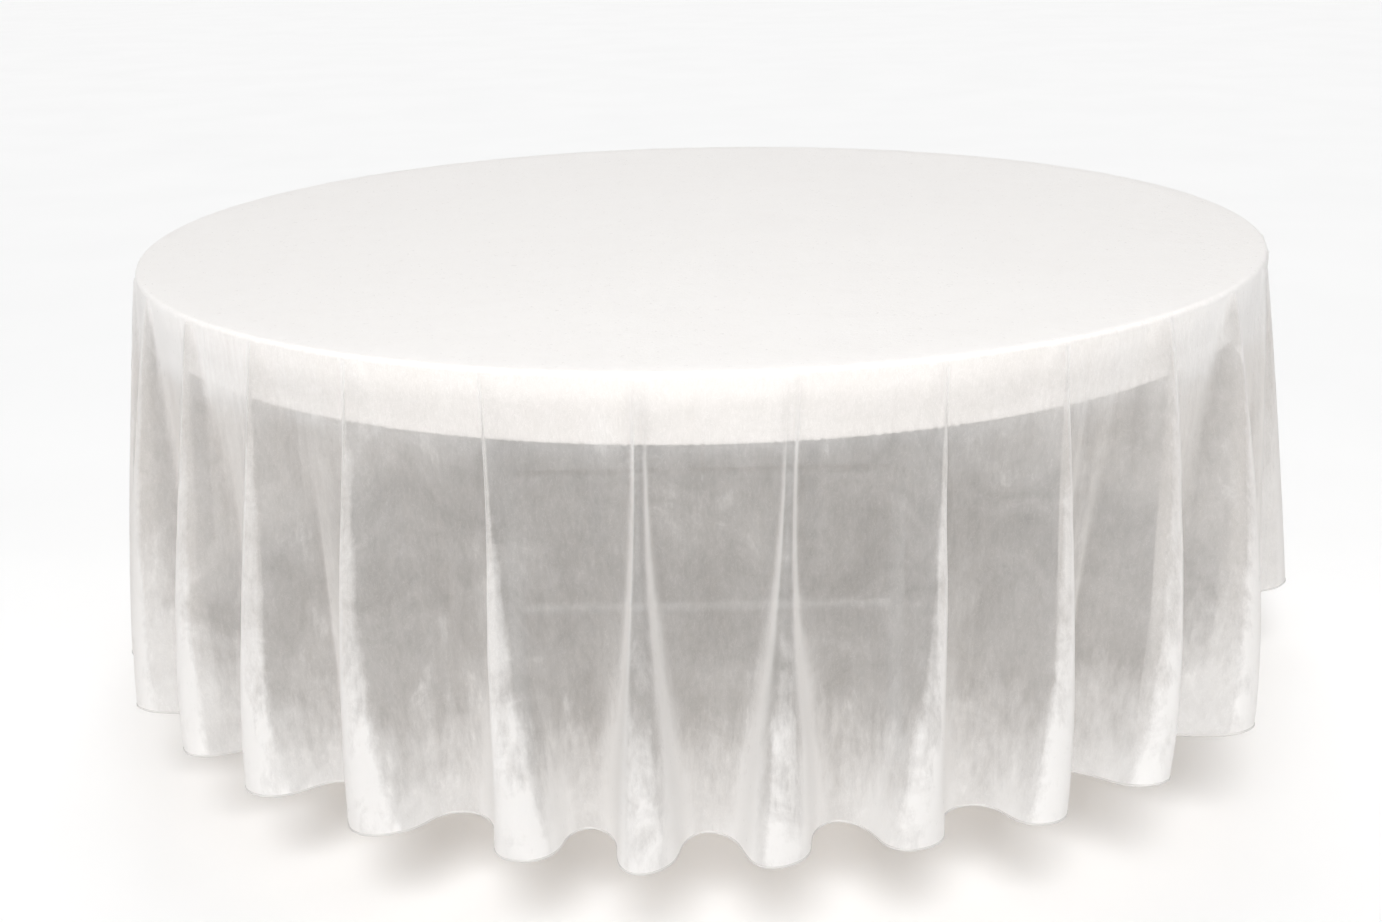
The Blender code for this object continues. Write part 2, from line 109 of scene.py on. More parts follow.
# How a fold grows: how much of its width its ridge takes at the rim, its shape, and how far it reaches out
RIDGE_AT_RIM = (0.13, 0.24)
LUMP_WIDTH = 0.21
STEEPNESS = (0.3, 0.6)
LEAN = 0.05
HEM_LEAN = 0.35
ROUNDING = 2.2
HEM_FLARE = 55 * MM
VALLEY_REACH = (4 * MM, 26 * MM)
# What is laid over the folds: slow swells, creases, streaks, and a drift to one side in degrees
SWELL = 2.5 * MM
CREASE = 1.0 * MM
STREAK = 0.12 * MM
SWAY = 0.4
NEAR_RIM = 0.22

# How the organza looks: its share of yarn, which grows where the cloth is crushed, and grows too with painted
# light: a highlight on the bunched folds, and brightening towards its hem
YARN_SHARE = 0.465
YARNS_CLOSE = 22.0
# painted light: extra yarn towards the hem, and higher up at the table's sides
HEM_LIGHT_YARN = 0.32
HEM_LIGHT_FROM = CLOTH_DIAMETER / 2 - 0.18
HEM_LIGHT_TO = CLOTH_DIAMETER / 2 - 0.04
SIDE_LIGHT_YARN = 0.17
# painted highlight: extra yarn on the folds' steep sides and crests
FOLD_HIGHLIGHT_YARN = 0.27
THREADS = 900

# Fitted cover
COVER_POINTS = 2160
COVER_RINGS = 16
COVER_CORNER = 5 * MM
COVER_WALL_STEPS = 14
CORD_RADIUS = 2.5 * MM
CASING = 4.0 * MM
KNIT = 700

# Both cloths have a small ring round the middle, and a corner in a few steps
MIDDLE_RING = 0.03
CORNER_STEPS = 6


def noise_round(rng, waves, lowest, highest):
    """A smooth random function of an angle (radians) and of a drift, which lets it change down the cloth."""
    counts = rng.integers(lowest, highest, waves)
    phases = rng.uniform(0, 2 * math.pi, waves)
    turns = rng.uniform(-1.5, 1.5, waves)
    scale = math.sqrt(2 / waves)

    def value(angle, drift):
        total = 0
        for count, phase, turn in zip(counts, phases, turns, strict=True):
            total = total + np.cos(count * angle + phase + turn * drift)
        return total * scale

    return value


def all_folds(rng):
    """The angles (radians) of every fold's ridge at the hem and at the rim, in order round the table."""
    hem = [math.radians(fold[0]) for fold in FRONT_FOLDS]
    rim = [math.radians(fold[1]) for fold in FRONT_FOLDS]
    gap = (hem[0] + 2 * math.pi - hem[-1]) / (BACK_FOLDS + 1)
    first = hem[-1]
    for i in range(BACK_FOLDS):
        hem.append(first + gap * (i + 1 + rng.uniform(-BACK_SHIFT, BACK_SHIFT)))
        rim.append(hem[-1] + math.radians(rng.uniform(-BACK_SLANT, BACK_SLANT)))
    return np.array(hem), np.array(rim)


def swing_for(shape, shortening):
    """How far each outline has to swing, in radians, to shorten it to a share of its length."""
    low, high = np.zeros(len(shape)), np.full(len(shape), 2.0)
    for _ in range(18):
        swing = (low + high) / 2
        too_long = np.cos(swing[:, None] * shape).mean(axis=1) > shortening
        low, high = np.where(too_long, swing, low), np.where(too_long, high, swing)
    return swing


def smoothstep(low, high, x):
    """0 below low and 1 above high, with a smooth rise between them."""
    t = np.clip((x - low) / (high - low), 0, 1)
    return t * t * (3 - 2 * t)


def grid_mesh(name, points, uvs, centre=None, fold_highlight=None):
    """A mesh from rows of points that each close round. With centre, a fan joins the first row to it."""
    rows, count = points.shape[:2]
    verts = points.reshape(-1, 3)
    index = np.arange(rows * count).reshape(rows, count)
    right = np.roll(index, -1, axis=1)
    quads = np.stack([index[1:], right[1:], right[:-1], index[:-1]], axis=-1).reshape(-1, 4)
    faces = quads.tolist()
    flat = uvs.reshape(-1, 2)
    if centre is not None:
        verts = np.vstack([verts, centre])
        hub = rows * count
        faces += [[hub, int(index[0, i]), int(right[0, i])] for i in range(count)]
        flat = np.vstack([flat, [[0, 0]]])
    mesh = bpy.data.meshes.new(name)
    mesh.from_pydata(verts.tolist(), [], faces)
    mesh.shade_smooth()
    layer = mesh.uv_layers.new(name="cloth")
    loops = np.empty(len(mesh.loops), dtype=np.int32)
    mesh.loops.foreach_get("vertex_index", loops)
    layer.data.foreach_set("uv", flat[loops].astype(np.float32).ravel())
    # the painted fold highlight, kept on the mesh for the organza to read
    if fold_highlight is not None:
        layer = mesh.attributes.new("fold_highlight", "FLOAT", "POINT")
        layer.data.foreach_set("value", np.append(fold_highlight.ravel(), [0] * (len(verts) - fold_highlight.size)))
    made = bpy.data.objects.new(name, mesh)
    bpy.context.scene.collection.objects.link(made)
    return made


class Skirt:
    """The organza below the rim: ridges that start narrow at the rim and widen until they fill the hem.

    Seen from above a ridge's outline swings out and back, far enough to take up the cloth that a round cloth
    has to spare at that depth. The swing back is slower, so each ridge has a steep side and a gentle one."""

    def __init__(self):
        rng = np.random.default_rng(12)
        hem, rim = all_folds(rng)
        count = len(hem)
        self.hem_starts, self.hem_spans = self.between_ridges(hem)
        self.rim_starts, self.rim_spans = self.between_ridges(rim)
        self.ridge = rng.uniform(*RIDGE_AT_RIM, count)
        self.lean = rng.uniform(-LEAN, LEAN, count)
        steepness = rng.uniform(*STEEPNESS, count)
        outward = np.where(np.abs(np.sin(hem)) > 0.12, -np.sign(np.sin(hem)), 0)
        behind = np.cos(hem) < 0
        outward[behind] = rng.choice([-1, 1], behind.sum())
        self.steep = outward * steepness
        self.side_on = np.minimum(1, np.abs(np.sin(hem)) / 0.3)
        self.growth = rng.uniform(0.85, 1.25, count) * (1.45 - 0.9 * np.abs(np.sin(hem)))
        self.reach = rng.uniform(*VALLEY_REACH, count)
        self.along = (np.arange(SAMPLES_PER_FOLD) + 0.5) / SAMPLES_PER_FOLD
        self.cloth_angle = (self.rim_starts[:, None] + self.rim_spans[:, None] * self.along).ravel()
        self.swell = noise_round(rng, 7, 3, 17)
        self.crease = noise_round(rng, 14, 60, 150)
        self.streak = noise_round(rng, 22, 180, 420)
        self.sway = noise_round(rng, 5, 4, 12)

    @staticmethod
    def between_ridges(ridges):
        """Where each fold starts, midway from the ridge before it, and how much of the circle it takes."""
        behind = np.roll(ridges, 1)
        behind[0] -= 2 * math.pi
        starts = (ridges + behind) / 2
        return starts, np.append(starts[1:], starts[0] + 2 * math.pi) - starts

    def row(self, fallen):
        """Angles, radii and painted fold highlight at a share of the fall, from 0 at the rim to 1 at the hem.
        """
        starts = self.rim_starts + (self.hem_starts - self.rim_starts) * fallen
        spans = self.rim_spans + (self.hem_spans - self.rim_spans) * fallen
        length = (RIM_SPAN + fallen * SKIRT_SLANT) * self.rim_spans
        space = (CLOTH_RADIUS + HEM_FLARE * fallen) * spans
        ridge = self.ridge + (1 - self.ridge) * fallen**self.growth
        centre = (0.5 + self.lean * (1 - ridge))[:, None]
        offset = self.along - centre
        side = np.exp(self.steep[:, None] * np.sign(offset))
        narrow = offset / (LUMP_WIDTH * ridge[:, None] * side)
        lump = -narrow * np.exp((1 - narrow**2) / 2) / side
        wave = np.sin(2 * math.pi * self.along)
        wave = wave * (1 - HEM_LEAN * self.steep[:, None] * np.cos(math.pi * self.along))
        blend = fallen**ROUNDING
        shape = (1 - blend) * lump + blend * wave
        shape /= np.abs(shape).max(axis=1, keepdims=True)
        heading = swing_for(shape, space / length)[:, None] * shape
        across = np.cumsum(np.cos(heading), axis=1)
        across = (across - 0.5 * np.cos(heading)) / across[:, -1:]
        out = np.cumsum(np.sin(heading), axis=1)
        out = out - out[:, -1:] * self.along
        out *= length[:, None] / SAMPLES_PER_FOLD
        angle = (starts[:, None] + spans[:, None] * across).ravel()
        valley = np.interp(self.cloth_angle, self.rim_starts, self.reach, period=2 * math.pi)
        radial = out.ravel() + valley * fallen
        radial += SWELL * fallen * self.swell(angle, 2 * fallen)
        radial += CREASE * (0.2 + 0.8 * fallen) * self.crease(self.cloth_angle, 3 * fallen)
        radial += STREAK * self.streak(self.cloth_angle, 5 * fallen)
        if fallen < NEAR_RIM:
            radial = np.maximum(radial, 0.2 * MM)
        angle = angle + math.radians(SWAY) * fallen * self.sway(angle, fallen)
        return angle, CLOTH_RADIUS + radial, self.fold_highlight(narrow, fallen)

    def fold_highlight(self, narrow, fallen):
        """The painted highlight at each point of a row, whose narrow is its place on its ridge: extra yarn on
        a fold's steep side and round its crest, where the cloth is bunched.
        """
        steep_side = narrow * np.sign(self.steep)[:, None] < 0
        soft = np.exp(-((narrow / 0.9) ** 2))
        crisp = 1 - smoothstep(0.30, 0.52, np.abs(narrow))
        onset = 0.33 - 0.3 * self.side_on
        strength = (0.55 + 0.45 * self.side_on) * smoothstep(onset, 2 * onset + 0.34, fallen)
        return (np.where(steep_side, soft, crisp) * strength[:, None]).ravel()

    def points(self):
        """The skirt's rows of points, the share of the fall at each, and the painted fold highlight at each
        point.

        Each line of cloth keeps its length as it goes in and out."""
        shares = np.linspace(0, 1, SKIRT_ROWS + 1) ** ROW_CROWDING
        height = np.full(len(self.cloth_angle), TOP_Z - RIM_ROUND)
        rows, fold_highlight = [], []
        for i, share in enumerate(shares):
            angle, radius, fold_highlight_share = self.row(share)
            fold_highlight.append(fold_highlight_share)
            flat = np.stack([radius * np.sin(angle), -radius * np.cos(angle)], axis=-1)
            if rows:
                aside = np.linalg.norm(flat - rows[-1][:, :2], axis=1)
                step = (share - shares[i - 1]) * SKIRT_SLANT
                height = height - np.sqrt(np.maximum(step**2 - aside**2, (0.5 * step) ** 2))
            rows.append(np.column_stack([flat, height]))
        return np.array(rows), shares, np.array(fold_highlight)


def cloth_uv(angle, flat_radius):
    """Where a point of the cloth lay before it was hung, in metres."""
    return np.stack([flat_radius * np.sin(angle), -flat_radius * np.cos(angle)], axis=-1)


def ring_of(angle, radius, height):
    """Points at the given angles, radii and heights, where a radius or a height may be one for all."""
    flat = np.broadcast_to(height, angle.shape)
    return np.column_stack([radius * np.sin(angle), -radius * np.cos(angle), flat])


def round_rows(angle, edge_radius, top_z, corner, rings):
    """Rows of a flat top and of the rounded corner at its edge, and how far each lies from the middle."""
    rows, spans = [], []
    flat_radius = edge_radius - corner
    for ring in range(rings):
        radius = MIDDLE_RING + (flat_radius - MIDDLE_RING) * ring / rings
        rows.append(ring_of(angle, radius, top_z))
        spans.append(radius)
    for step in range(CORNER_STEPS):
        turn = math.pi / 2 * step / CORNER_STEPS
        height = top_z - corner + corner * math.cos(turn)
        rows.append(ring_of(angle, flat_radius + corner * math.sin(turn), height))
        spans.append(flat_radius + corner * turn)
    return np.array(rows), spans


def organza_cloth():
    """The round organza cloth, and the rolled hem sewn round it."""
    skirt = Skirt()
    angle = skirt.cloth_angle
    top, spans = round_rows(angle, CLOTH_RADIUS, TOP_Z, RIM_ROUND, TOP_RINGS)
    ripple = noise_round(np.random.default_rng(5), 9, 2, 9)
    for row, span in zip(top[:TOP_RINGS], spans[:TOP_RINGS], strict=True):
        row[:, 2] += TOP_RIPPLE * ripple(angle, 9 * span) * smoothstep(MIDDLE_RING, 0.2, span) - SETTLED
    fall, shares, fold_highlight = skirt.points()
    rows = np.concatenate([top, fall])
    spans = spans + [RIM_SPAN + share * SKIRT_SLANT for share in shares]
    uvs = np.array([cloth_uv(angle, span) for span in spans])
    fold_highlight = np.concatenate([np.zeros(top.shape[:2]), fold_highlight])
    cloth = grid_mesh("organza_cloth", rows, uvs, (0, 0, TOP_Z - SETTLED), fold_highlight)
    hem = tube_round("organza_hem", fall[-1], fall[-2], HEM_TUBE, uvs[-1])
    return cloth, hem


def tube_round(name, ring, above, radius, uv):
    """A thin closed tube along a ring of points, taller than it is thick. above is the row over the ring."""
    forward = np.roll(ring, -1, axis=0) - np.roll(ring, 1, axis=0)
    forward /= np.linalg.norm(forward, axis=1, keepdims=True)
    up = above - ring
    up -= (up * forward).sum(axis=1, keepdims=True) * forward
    up /= np.linalg.norm(up, axis=1, keepdims=True)
    out = np.cross(forward, up)
    rows = []
    for side in range(HEM_SIDES + 1):
        turn = 2 * math.pi * side / HEM_SIDES
        rows.append(ring + radius * (1.7 * math.cos(turn) * up + math.sin(turn) * out))
    return grid_mesh(name, np.array(rows), np.array([uv] * len(rows)))


def under_cover():
    """The fitted cap under the organza: a smooth top, a short side, and a gathered hem round its elastic.

    It comes with the cap's own span, from its middle to its edge along the cloth."""
    angle = np.arange(COVER_POINTS) * 2 * math.pi / COVER_POINTS
    top_z = COVER_HIGH[2]
    radius = COVER_RADIUS - 0.1 * MM
    top, spans = round_rows(angle, radius, top_z, COVER_CORNER, COVER_RINGS)
    cord_radius = ELASTIC_HIGH[0] - CORD_RADIUS
    cord_z = (ELASTIC_LOW[2] + ELASTIC_HIGH[2]) / 2
    rng = np.random.default_rng(31)
    gather = noise_round(rng, 12, 260, 620)
    pull = noise_round(rng, 8, 30, 90)
    wall_top = top_z - COVER_CORNER
    lower = []
    for step in range(COVER_WALL_STEPS + 1):
        share = step / COVER_WALL_STEPS
        z = wall_top + (cord_z - wall_top) * share
        pulled_in = smoothstep(0.2, 1.0, share) * (radius - cord_radius - CASING)
        puckers = 0.5 * MM * gather(angle, 2 * share) + 0.3 * MM * pull(angle, share)
        lower.append(ring_of(angle, radius - pulled_in + smoothstep(0.55, 1.0, share) * puckers, z))
        spans.append(radius - COVER_CORNER + COVER_CORNER * math.pi / 2 + (wall_top - z))
    for step in range(1, 9):
        turn = math.radians(-30 * step)
        around = CASING + 0.6 * MM * gather(angle, 2 + 0.2 * step)
        lower.append(ring_of(angle, cord_radius + around * math.cos(turn), cord_z + around * math.sin(turn)))
        spans.append(spans[-1] + 2 * MM)
    rows = np.concatenate([top, np.array(lower)])
    uvs = np.array([cloth_uv(angle, span) for span in spans])
    cap = grid_mesh("fitted_cover", rows, uvs, centre=(0, 0, top_z))
    return cap, spans[-1]


# Materials


class Nodes:
    """A material's node tree, with short ways to add nodes and link them."""

    def __init__(self, name):
        self.material = bpy.data.materials.new(name)
        self.material.use_nodes = True
        self.tree = self.material.node_tree
        self.tree.nodes.clear()
        self.out = self.add("ShaderNodeOutputMaterial")

    def add(self, kind, settings=(), **inputs):
        node = self.tree.nodes.new(kind)
        for key, value in dict(settings).items():
            setattr(node, key, value)
        for key, value in inputs.items():
            self.put(node.inputs[key.replace("_", " ")], value)
        return node

    def put(self, socket, value):
        if isinstance(value, bpy.types.NodeSocket):
            self.tree.links.new(value, socket)
        else:
            socket.default_value = value

    def value(self, operation, *values, clamp=False):
        node = self.tree.nodes.new("ShaderNodeMath")
        node.operation = operation
        node.use_clamp = clamp
        for socket, value in zip(node.inputs, values, strict=False):
            self.put(socket, value)
        return node.outputs[0]

    def coords(self, kind="Object", scale=(1, 1, 1)):
        source = self.add("ShaderNodeTexCoord").outputs[kind]
        mapping = self.add("ShaderNodeMapping", Scale=scale)
        self.put(mapping.inputs["Vector"], source)
        return mapping.outputs[0]

    def noise(self, vector, scale, detail=3.0, rough=0.55, distortion=0.0):
        node = self.add("ShaderNodeTexNoise", Scale=scale, Detail=detail, Roughness=rough)
        node.inputs["Distortion"].default_value = distortion
        self.put(node.inputs["Vector"], vector)
        return node.outputs["Fac"]

    def wave(self, vector, scale, direction):
        node = self.add("ShaderNodeTexWave", {"bands_direction": direction}, Scale=scale)
        self.put(node.inputs["Vector"], vector)
        return node.outputs["Fac"]

    def ramp(self, fac, *stops):
        """A colour ramp from (place, colour) stops. A colour may be a single grey."""
        node = self.tree.nodes.new("ShaderNodeValToRGB")
        elements = node.color_ramp.elements
        while len(elements) < len(stops):
            elements.new(0.5)
        for element, (place, colour) in zip(elements, stops, strict=True):
            element.position = place
            colour = (colour, colour, colour) if isinstance(colour, (int, float)) else colour
            element.color = (*colour, 1)
        self.put(node.inputs[0], fac)
        return node.outputs[0]

    def spread(self, fac, low, high, start=0.3, end=0.7):
        """Maps a noise's middle range to low..high."""
        node = self.tree.nodes.new("ShaderNodeMapRange")
        for socket, value in zip(node.inputs, (fac, start, end, low, high), strict=False):
            self.put(socket, value)
        return node.outputs[0]

    def bump(self, height, strength, distance, normal=None):
        node = self.add("ShaderNodeBump", Strength=strength, Distance=distance)
        self.put(node.inputs["Height"], height)
        if normal is not None:
            self.put(node.inputs["Normal"], normal)
        return node.outputs[0]

    def principled(self, **inputs):
        node = self.tree.nodes.new("ShaderNodeBsdfPrincipled")
        for key, value in inputs.items():
            self.put(node.inputs[key.replace("_", " ")], value)
        return node

    def finish(self, shader):
        self.tree.links.new(shader, self.out.inputs["Surface"])
        return self.material


def weave(n, vector, threads):
    """The over-and-under height of a plain weave, with so many threads in a metre."""
    warp = n.wave(vector, threads / 20 * math.pi, "X")
    weft = n.wave(vector, threads / 20 * math.pi, "Y")
    return n.value("MULTIPLY", warp, weft)


def organza_material(name, hem=False):
    """Sheer, shiny cloth. A share of it is yarn, which shines and lets light through, and the rest is open.

    Seen along the cloth the yarns close up, except to the light that falls through it. They are also closer
    in the crushed streaks. Painted glints add thin lines of yarn, a painted highlight adds yarn where a fold
    bunches the cloth, and painted light adds yarn towards the hem, most at the table's sides."""
    n = Nodes(name)
    flat = n.coords("UV")
    place = n.coords("Object")
    streaks = n.noise(n.coords("Object", (24, 24, 7)), 1.6, 4.0, 0.65)
    fine_streaks = n.noise(n.coords("Object", (95, 95, 42)), 1.6, 3.0, 0.7)
    blotches = n.noise(place, 13, 5.0, 0.62, 0.8)
    threads = n.noise(n.coords("Object", (95, 95, 42)), 1.0, 4.0, 0.7, 1.5)
    # painted glints: thin squiggly lines of extra yarn, for the crushed organza's shine
    glint_squiggles = n.value("ABSOLUTE", n.value("SUBTRACT", threads, 0.5))
    crush_and_glints = n.value("ADD", n.spread(streaks, -0.03, 0.03), n.spread(fine_streaks, -0.022, 0.022))
    crush_and_glints = n.value("ADD", crush_and_glints, n.spread(blotches, -0.055, 0.055))
    crush_and_glints = n.value("ADD", crush_and_glints, n.spread(glint_squiggles, 0.07, 0, 0, 0.02))
    # painted highlight: extra yarn where the folds bunch, broken into wisps
    fold_highlight_share = n.add("ShaderNodeAttribute", {"attribute_name": "fold_highlight"}).outputs["Fac"]
    # painted light: extra yarn that brightens the cloth towards its hem
    hem_light = painted_hem_light(n, flat, place, fold_highlight_share, streaks)
    yarns = n.value("ADD", n.value("ADD", crush_and_glints, YARN_SHARE), hem_light)
    wisps = n.value("ADD", n.spread(streaks, -0.3, 0.3), n.spread(blotches, -0.3, 0.3))
    wispy_highlight = n.spread(n.value("ADD", fold_highlight_share, wisps), 0.0, FOLD_HIGHLIGHT_YARN, 0.25, 1.15)
    yarns = n.value("ADD", yarns, wispy_highlight)
    facing = n.add("ShaderNodeLayerWeight", Blend=0.5).outputs["Facing"]
    seen = n.value("SUBTRACT", 1.0, n.add("ShaderNodeLightPath").outputs["Is Shadow Ray"])
    closing = n.value("MULTIPLY", n.value("POWER", facing, 4.0), n.value("MULTIPLY", seen, YARNS_CLOSE))
    slope = n.value("ADD", closing, 1.0)
    covered = n.value("SUBTRACT", 1.0, n.value("POWER", n.value("SUBTRACT", 1.0, yarns, clamp=True), slope))
    crinkle = n.value("ADD", n.value("MULTIPLY", fine_streaks, 0.6), blotches)
    normal = n.bump(weave(n, flat, THREADS), 0.12, 0.2 * MM)
    normal = n.bump(crinkle, 0.5, 2.0 * MM, normal)
    tint = n.ramp(blotches, (0.3, (0.925, 0.918, 0.912)), (0.7, (0.955, 0.95, 0.946)))
    yarn = n.principled(Base_Color=tint, Roughness=n.spread(fine_streaks, 0.26, 0.44), Normal=normal)
    yarn.inputs["Specular IOR Level"].default_value = 0.6
    yarn.inputs["Sheen Weight"].default_value = 0.1
    yarn.inputs["Sheen Roughness"].default_value = 0.35
    through = n.add("ShaderNodeBsdfTranslucent", Color=(0.96, 0.95, 0.94, 1))
    n.put(through.inputs["Normal"], normal)
    cloth = n.add("ShaderNodeMixShader")
    n.put(cloth.inputs[0], 0.48)
    n.put(cloth.inputs[1], yarn.outputs[0])
    n.put(cloth.inputs[2], through.outputs[0])
    gaps = n.add("ShaderNodeBsdfTransparent", Color=(0.97, 0.95, 0.93, 1))
    whole = n.add("ShaderNodeMixShader")
    n.put(whole.inputs[0], HEM_COVERS if hem else covered)
    n.put(whole.inputs[1], gaps.outputs[0])
    n.put(whole.inputs[2], cloth.outputs[0])
    return n.finish(whole.outputs[0])


def painted_hem_light(n, flat, place, fold_highlight_share, streaks):
    """Painted light: the share of yarn that the cloth gains towards its hem, which brightens it there. It
    starts higher up at the table's left and right sides.
    """
    from_middle = n.add("ShaderNodeVectorMath", {"operation": "LENGTH"})
    n.put(from_middle.inputs[0], flat)
    across = n.add("ShaderNodeSeparateXYZ")
    n.put(across.inputs[0], place)
    side_light = n.spread(n.value("ABSOLUTE", across.outputs[0]), 0, SIDE_LIGHT_YARN, 0.60, 0.98)
    wavering = n.value("ADD", from_middle.outputs["Value"], n.spread(streaks, -0.04, 0.04))
    wavering = n.value("ADD", wavering, n.value("ADD", n.value("MULTIPLY", fold_highlight_share, 0.05), side_light))
    return n.spread(wavering, 0.0, HEM_LIGHT_YARN, HEM_LIGHT_FROM, HEM_LIGHT_TO)


def cover_material():
    """Opaque white knit with a dull sheen."""
    n = Nodes("cover_cloth")
    flat = n.coords("UV")
    soft = n.noise(n.coords("Object"), 6, 3.0)
    colour = n.ramp(soft, (0.3, (0.95, 0.942, 0.938)), (0.7, (0.965, 0.96, 0.956)))
    fuzz = n.noise(n.coords("Object"), 900, 2.0)
    height = n.value("ADD", weave(n, flat, KNIT), n.value("MULTIPLY", fuzz, 0.4))
    normal = n.bump(height, 0.3, 0.2 * MM)
    shader = n.principled(Base_Color=colour, Roughness=n.spread(soft, 0.78, 0.9), Normal=normal)
    shader.inputs["Sheen Weight"].default_value = 0.25
    return n.finish(shader.outputs[0])


def elastic_material():
    """White braided elastic, with painted shade: darker where the braid is low, in its grooves."""
    n = Nodes("elastic")
    braid = n.wave(n.coords("Object", (400, 400, 900)), 1.0, "DIAGONAL")
    # painted shade: the braid's grooves darker than its ridges
    colour = n.ramp(braid, (0.2, (0.72, 0.71, 0.7)), (0.8, (0.88, 0.88, 0.87)))
    normal = n.bump(braid, 0.5, 0.4 * MM)
    shader = n.principled(Base_Color=colour, Roughness=n.spread(braid, 0.6, 0.8), Normal=normal)
    return n.finish(shader.outputs[0])


def plywood_material(name, light, dark, grain):
    """Sliced or planed wood, with its grain along Y."""
    n = Nodes(name)
    along = n.coords("Object", (grain, grain * 0.06, grain))
    growth = n.noise(along, 1.0, 6.0, 0.6, 1.2)
    pores = n.noise(n.coords("Object", (500, 18, 500)), 1.0, 2.0)
    between = tuple((a + b) / 2 for a, b in zip(light, dark, strict=True))
    colour = n.ramp(growth, (0.25, dark), (0.55, light), (0.8, between))
    rough = n.spread(growth, 0.5, 0.68)
    normal = n.bump(n.value("ADD", growth, n.value("MULTIPLY", pores, 0.5)), 0.25, 0.4 * MM)
    return n.finish(n.principled(Base_Color=colour, Roughness=rough, Normal=normal).outputs[0])


def paint_material():
    """Dark grey powder coat, with its orange-peel skin and a few scuffs."""
    n = Nodes("painted_steel")
    peel = n.noise(n.coords("Object"), 420, 2.0)
    scuffs = n.noise(n.coords("Object", (30, 30, 14)), 1.0, 6.0, 0.7)
    coat, faded, scuffed = (0.27, 0.265, 0.26), (0.31, 0.305, 0.30), (0.20, 0.195, 0.19)
    colour = n.ramp(scuffs, (0.3, coat), (0.62, faded), (0.74, scuffed))
    rough = n.spread(scuffs, 0.36, 0.6)
    normal = n.bump(peel, 0.2, 0.15 * MM)
    return n.finish(n.principled(Base_Color=colour, Roughness=rough, Normal=normal).outputs[0])


def zinc_material():
    """Zinc-plated steel, with its cloudy spangle and fine brushing."""
    n = Nodes("zinc_steel")
    spangle = n.noise(n.coords("Object"), 120, 3.0)
    brush = n.noise(n.coords("Object", (900, 60, 900)), 1.0, 2.0)
    colour = n.ramp(spangle, (0.3, (0.50, 0.51, 0.52)), (0.7, (0.68, 0.69, 0.70)))
    rough = n.value("ADD", n.spread(spangle, 0.24, 0.4), n.spread(brush, -0.04, 0.06))
    normal = n.bump(brush, 0.15, 0.1 * MM)
    shader = n.principled(Base_Color=colour, Roughness=rough, Metallic=1.0, Normal=normal)
    return n.finish(shader.outputs[0])


def plastic_material(name, colour, darker):
    """Moulded plastic or vinyl, with a fine spark-eroded grain."""
    n = Nodes(name)
    skin = n.noise(n.coords("Object"), 700, 2.0)
    wear = n.noise(n.coords("Object"), 30, 5.0)
    shade = n.ramp(wear, (0.3, darker), (0.65, colour))
    normal = n.bump(skin, 0.3, 0.15 * MM)
    shader = n.principled(Base_Color=shade, Roughness=n.spread(wear, 0.45, 0.65), Normal=normal)
    return n.finish(shader.outputs[0])


def floor_material():
    """A white floor, with painted shade: it turns grey wherever it is seen through the sheer cloth, for the
    shade under the table.
    """
    n = Nodes("floor")
    soft = n.noise(n.coords("Object"), 1.5, 2.0)
    white = n.add("ShaderNodeBsdfDiffuse", Color=n.ramp(soft, (0.3, 0.95), (0.7, 0.97)))
    # painted shade: the grey that the floor shows through the sheer cloth
    shade_grey = n.ramp(soft, (0.3, (0.37, 0.35, 0.33)), (0.7, (0.39, 0.37, 0.35)))
    painted_shade = n.add("ShaderNodeBsdfDiffuse", Color=shade_grey)
    layers = n.add("ShaderNodeLightPath").outputs["Transparent Depth"]
    floor = n.add("ShaderNodeMixShader")
    n.put(floor.inputs[0], n.value("GREATER_THAN", layers, 0.5))
    n.put(floor.inputs[1], white.outputs[0])
    n.put(floor.inputs[2], painted_shade.outputs[0])
    return n.finish(floor.outputs[0])


def dress_frame():
    """Gives each CAD node that stays its own finish."""
    finishes = {
        "plywood": plywood_material("plywood", (0.66, 0.50, 0.32), (0.50, 0.35, 0.20), 28),
        "hardwood": plywood_material("hardwood", (0.55, 0.38, 0.22), (0.38, 0.24, 0.13), 60),
        "edge_vinyl": plastic_material("edge_vinyl", (0.56, 0.55, 0.53), (0.48, 0.47, 0.45)),
        "painted_steel": paint_material(),
        "zinc_steel": zinc_material(),
        "foot_plastic": plastic_material("foot_plastic", (0.46, 0.46, 0.45), (0.38, 0.38, 0.37)),
        "elastic": elastic_material(),
    }
    slots = {row["node"]: row["material_slot"] for row in frame["record"]["subparts"]}
    for node, thing in frame["nodes"].items():
        if slots[node] in finishes:
            give(thing, finishes[slots[node]])
            for polygon in thing.data.polygons:
                polygon.material_index = 0


def give(piece, material):
    """Gives a piece one material."""
    piece.data.materials.clear()
    piece.data.materials.append(material)


def cloths():
    """Makes the organza cloth with its hem and the fitted cover, gives each its material and hangs it on its
    body, and hides the CAD pieces they replace.
    """
    cloth, hem = organza_cloth()
    give(cloth, organza_material("organza"))
    give(hem, organza_material("organza_hem", hem=True))
    for piece in (cloth, hem):
        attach(piece, "overlay")
    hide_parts("organza_overlay")

    cap, span = under_cover()
    give(cap, cover_material())
    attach(cap, "table")
    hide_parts("under_cover")


def add_light(name, kind, energy):
    light = bpy.data.lights.new(name, kind)
    light.energy = energy
    made = bpy.data.objects.new(name, light)
    bpy.context.scene.collection.objects.link(made)
    return made


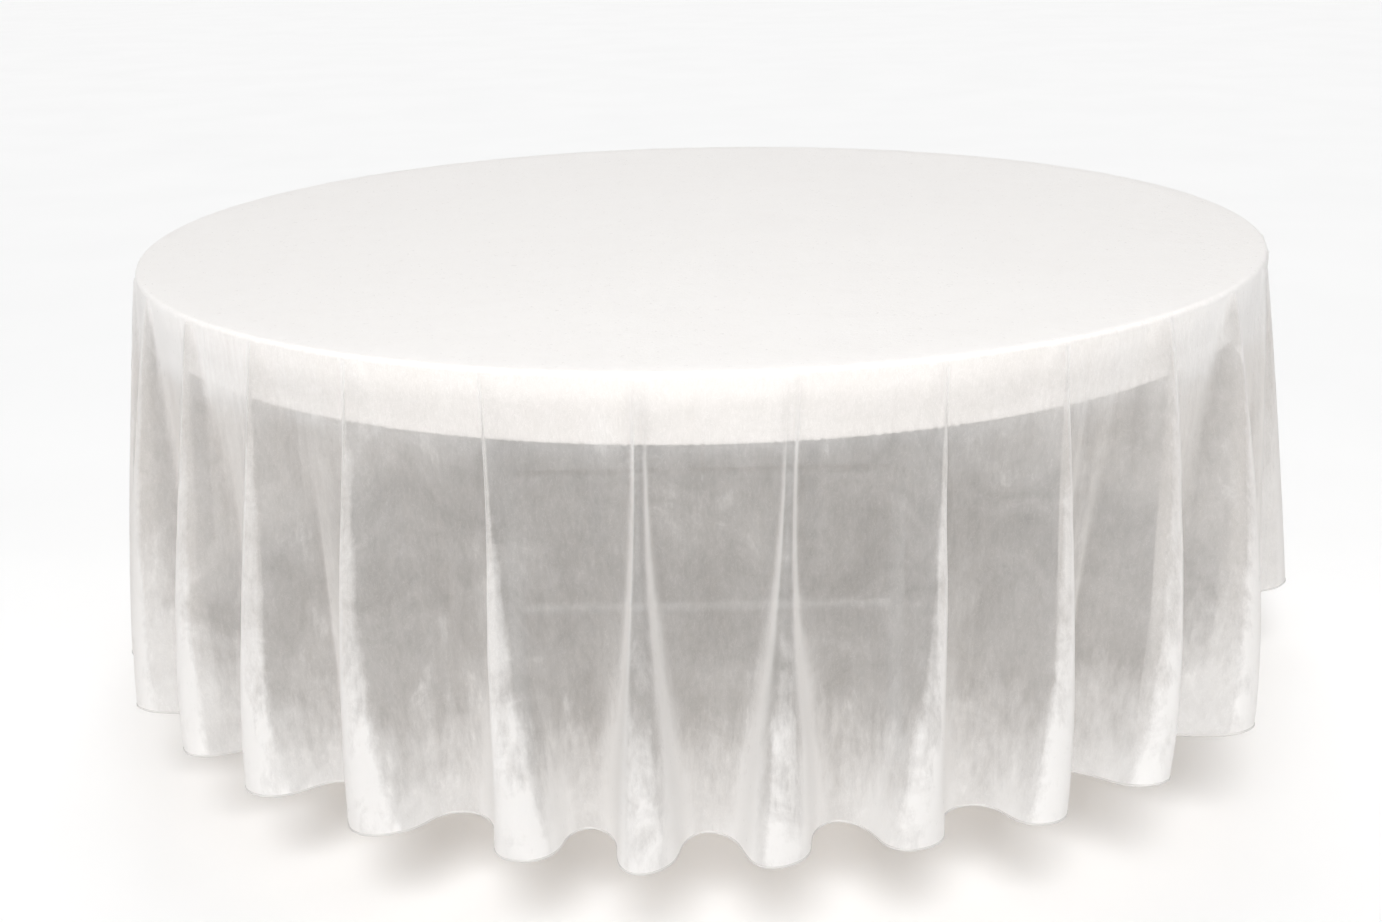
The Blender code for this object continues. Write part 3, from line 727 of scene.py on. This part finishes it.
def soft_panel(place, target, size, power):
    """A round panel of soft light, turned to a target."""
    made = add_light("panel", "AREA", power)
    made.data.shape = "DISK"
    made.data.size = size
    made.location = place
    made.rotation_euler = (Vector(target) - Vector(place)).to_track_quat("-Z", "Y").to_euler()


def soft_sun(name, height, side, strength):
    """Soft, even light from far off: its height, and its turn from straight in front, are in degrees."""
    made = add_light(name, "SUN", strength)
    made.data.angle = math.radians(SUN_SPREAD)
    made.rotation_euler = (math.radians(90 - height), 0, math.radians(side))


def surround():
    """Even, weaker light from all round, which is plain white to the camera."""
    world = bpy.data.worlds.new("surround")
    world.use_nodes = True
    nodes, links = world.node_tree.nodes, world.node_tree.links
    background = nodes["Background"]
    background.inputs["Color"].default_value = (1, 1, 1, 1)
    path = nodes.new("ShaderNodeLightPath")
    level = nodes.new("ShaderNodeMapRange")
    level.inputs["To Min"].default_value = AMBIENT
    links.new(path.outputs["Is Camera Ray"], level.inputs["Value"])
    links.new(level.outputs["Result"], background.inputs["Strength"])
    bpy.context.scene.world = world


def studio():
    """A pale floor, a white surround, a soft sun in front with a weak one behind, and a soft panel."""
    bpy.ops.mesh.primitive_circle_add(vertices=96, radius=60, fill_type="NGON", location=(0, 0, -0.5 * MM))
    floor = bpy.context.object
    floor.name = "floor"
    give(floor, floor_material())
    surround()
    soft_sun("key", 45, -4, 2.7)
    soft_sun("fill", 46, 180, 0.45)
    soft_panel((0.1, -2.3, 2.3), (0, -0.9, 0.7), 1.4, 7)
    bpy.context.scene.view_settings.view_transform = "Standard"


def camera():
    """Places the camera by its pitch, yaw and roll."""
    lens = bpy.data.cameras.new("camera")
    lens.lens = CAMERA_LENS
    lens.clip_end = 200
    made = bpy.data.objects.new("camera", lens)
    bpy.context.scene.collection.objects.link(made)
    turn = Matrix.Rotation(math.radians(CAMERA_YAW), 4, "Z")
    tilt = Matrix.Rotation(math.radians(90 - CAMERA_PITCH), 4, "X")
    roll = Matrix.Rotation(math.radians(CAMERA_ROLL), 4, "Z")
    made.matrix_world = Matrix.Translation(CAMERA_PLACE) @ turn @ tilt @ roll
    bpy.context.scene.camera = made


camera()
studio()
dress_frame()
cloths()
